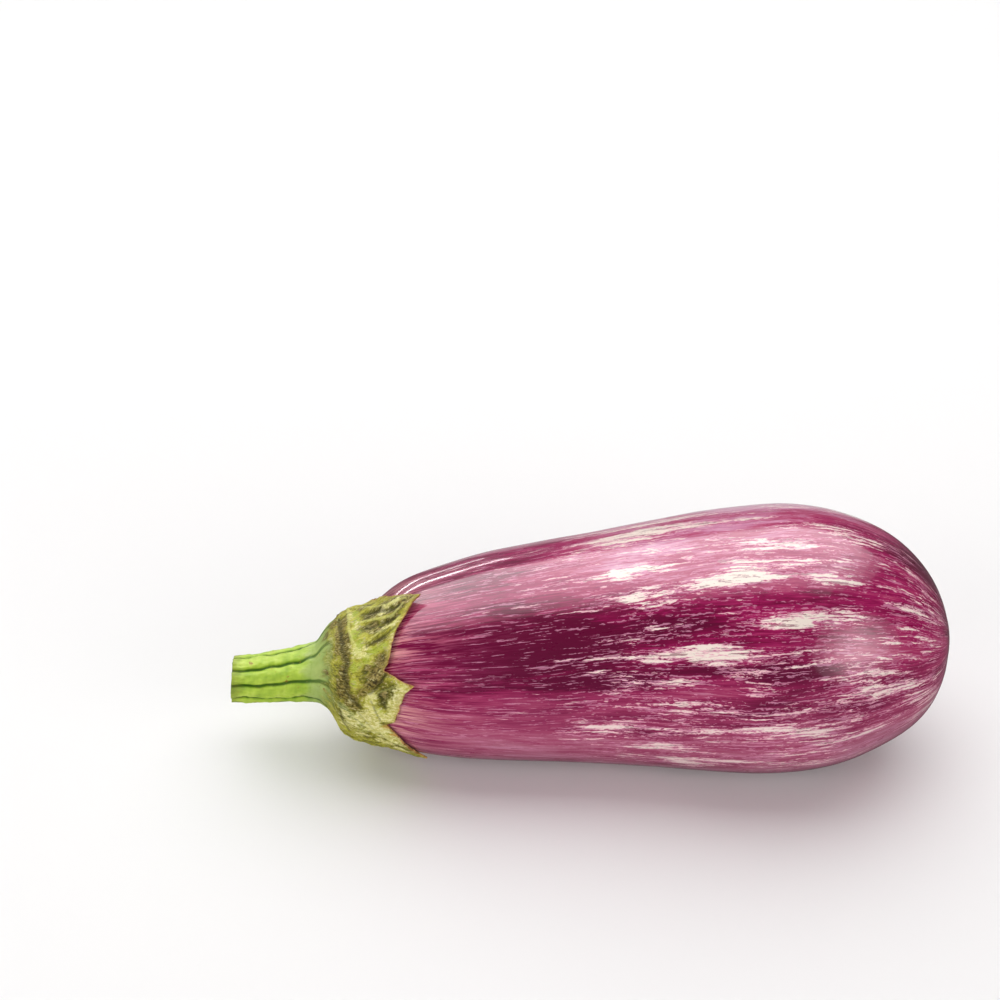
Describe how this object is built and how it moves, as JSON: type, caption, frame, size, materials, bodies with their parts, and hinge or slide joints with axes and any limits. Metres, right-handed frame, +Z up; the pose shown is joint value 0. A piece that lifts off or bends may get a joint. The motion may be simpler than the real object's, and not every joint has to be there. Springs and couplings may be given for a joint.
{
  "type": "eggplant",
  "caption": "Striped purple and cream eggplant lying on its side, with a lobed green calyx and a short ribbed stem; rests on a small flat spot.",
  "frame": {"origin": "centre of the whole object's footprint, on the surface that it rests on", "axes": "+X from the cut stem towards the blossom end, +Z up, as the eggplant lies on its side"},
  "size_m": [0.2082, 0.0788, 0.0775],
  "materials": {
    "skin": "glossy smooth skin, dark magenta-purple with fine broken cream and pink streaks along its length",
    "calyx_green": "matte leathery green with olive-brown mottling and thin brown margins",
    "stem_green": "matte ribbed bright green with darker grooves"
  },
  "bodies": {
    "root": {"fruit": "skin", "calyx": "calyx_green", "stem": "stem_green"}
  },
  "joints": []
}
